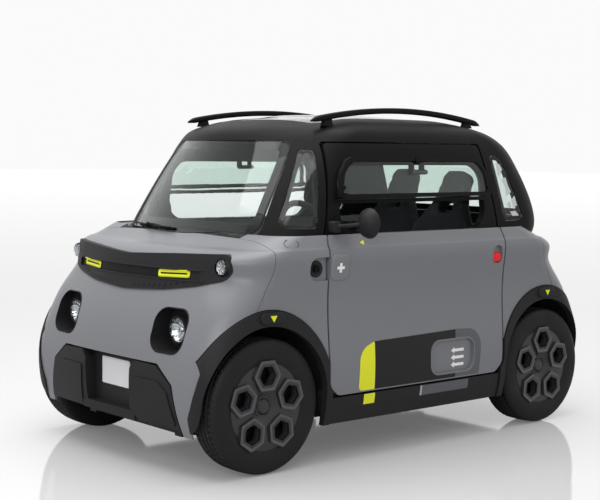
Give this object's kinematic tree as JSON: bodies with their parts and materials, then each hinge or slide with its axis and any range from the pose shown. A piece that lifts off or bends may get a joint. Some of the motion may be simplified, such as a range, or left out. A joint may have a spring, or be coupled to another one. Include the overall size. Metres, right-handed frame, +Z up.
{
  "type": "microcar",
  "caption": "Short boxy two-seat electric microcar with opposed side doors, round lamps, folding side windows and arched roof rails.",
  "frame": {"origin": "on the floor under the middle of the car", "axes": "+X towards the car's left side, -Y towards its front, +Z up"},
  "size_m": [1.6256, 2.4084, 1.5079],
  "materials": {
    "body_grey": "satin",
    "trim_black": "matte",
    "frame_black": "gloss",
    "window_glass": "clear",
    "clear_lens": "clear",
    "red_lens": "gloss",
    "chassis_paint": "satin",
    "floor_grey": "matte",
    "seat_grey": "woven",
    "interior_black": "matte",
    "battery_case": "satin",
    "motor_metal": "cast",
    "tyre": "matte",
    "wheel_grey": "satin"
  },
  "bodies": {
    "body": {"battery_pack": "battery_case", "chassis_frame": "chassis_paint", "cowl": "trim_black", "dashboard": "interior_black", "drive_motor": "motor_metal", "driver_seat": "seat_grey", "floor_pan": "floor_grey", "front_band": "trim_black", "front_bumper": "trim_black", "front_fascia": "body_grey", "front_lamps": "clear_lens", "front_suspension": "chassis_paint", "greenhouse_frame": "frame_black", "lamp_bezels": "trim_black", "passenger_seat": "seat_grey", "quarter_windows": "window_glass", "rear_band": "trim_black", "rear_bumper": "trim_black", "rear_fascia": "body_grey", "rear_hubs": "chassis_paint", "rear_lamps": "red_lens", "rear_suspension": "chassis_paint", "rear_window": "window_glass", "roof_glass": "window_glass", "roof_panel": "frame_black", "roof_rails": "frame_black", "side_panels_left": "body_grey", "side_panels_right": "body_grey", "side_sills": "trim_black", "steering_column": "interior_black", "wheel_arch_trims": "trim_black", "wheel_liners": "trim_black", "windscreen": "window_glass"},
    "door_left": {"door_left": "body_grey", "door_left_flap_frame": "frame_black", "door_left_flap_pane": "window_glass", "door_left_frame": "frame_black", "door_left_mirror": "trim_black", "door_left_pane": "window_glass"},
    "door_right": {"door_right": "body_grey", "door_right_flap_frame": "frame_black", "door_right_flap_pane": "window_glass", "door_right_frame": "frame_black", "door_right_mirror": "trim_black", "door_right_pane": "window_glass"},
    "knuckle_left": {"knuckle_left": "chassis_paint"},
    "knuckle_right": {"knuckle_right": "chassis_paint"},
    "wheel_front_left": {"tyre_front_left": "tyre", "wheel_front_left": "wheel_grey"},
    "wheel_front_right": {"tyre_front_right": "tyre", "wheel_front_right": "wheel_grey"},
    "wheel_rear_left": {"tyre_rear_left": "tyre", "wheel_rear_left": "wheel_grey"},
    "wheel_rear_right": {"tyre_rear_right": "tyre", "wheel_rear_right": "wheel_grey"},
    "steering_wheel": {"steering_wheel": "interior_black"}
  },
  "joints": [
    {"name": "door_left_hinge", "type": "hinge", "parent": "body", "child": "door_left", "pos_m": [0.7, 0.56, 0.6], "axis": [0, 0, 1], "range_deg": [0, 70]},
    {"name": "door_right_hinge", "type": "hinge", "parent": "body", "child": "door_right", "pos_m": [-0.7, -0.56, 0.6], "axis": [0, 0, 1], "range_deg": [0, 70]},
    {"name": "steer_left", "type": "hinge", "parent": "body", "child": "knuckle_left", "pos_m": [0.576, -0.864, 0.2785], "axis": [0, 0, 1], "range_deg": [-30, 30]},
    {"name": "steer_right", "type": "hinge", "parent": "body", "child": "knuckle_right", "pos_m": [-0.576, -0.864, 0.2785], "axis": [0, 0, 1], "range_deg": [-30, 30]},
    {"name": "steering_wheel_turn", "type": "hinge", "parent": "body", "child": "steering_wheel", "pos_m": [0.3, -0.33, 0.925], "axis": [0, 0.9135, 0.4067], "range_deg": [-480, 480]},
    {"name": "spin_front_left", "type": "hinge", "parent": "knuckle_left", "child": "wheel_front_left", "pos_m": [0.595, -0.864, 0.2785], "axis": [1, 0, 0], "continuous": true},
    {"name": "spin_front_right", "type": "hinge", "parent": "knuckle_right", "child": "wheel_front_right", "pos_m": [-0.595, -0.864, 0.2785], "axis": [1, 0, 0], "continuous": true},
    {"name": "spin_rear_left", "type": "hinge", "parent": "body", "child": "wheel_rear_left", "pos_m": [0.595, 0.864, 0.2785], "axis": [1, 0, 0], "continuous": true},
    {"name": "spin_rear_right", "type": "hinge", "parent": "body", "child": "wheel_rear_right", "pos_m": [-0.595, 0.864, 0.2785], "axis": [1, 0, 0], "continuous": true}
  ],
  "couplings": [
    {"joint": "steer_right", "follows": "steer_left", "ratio": 1},
    {"joint": "steering_wheel_turn", "follows": "steer_left", "ratio": 16}
  ]
}
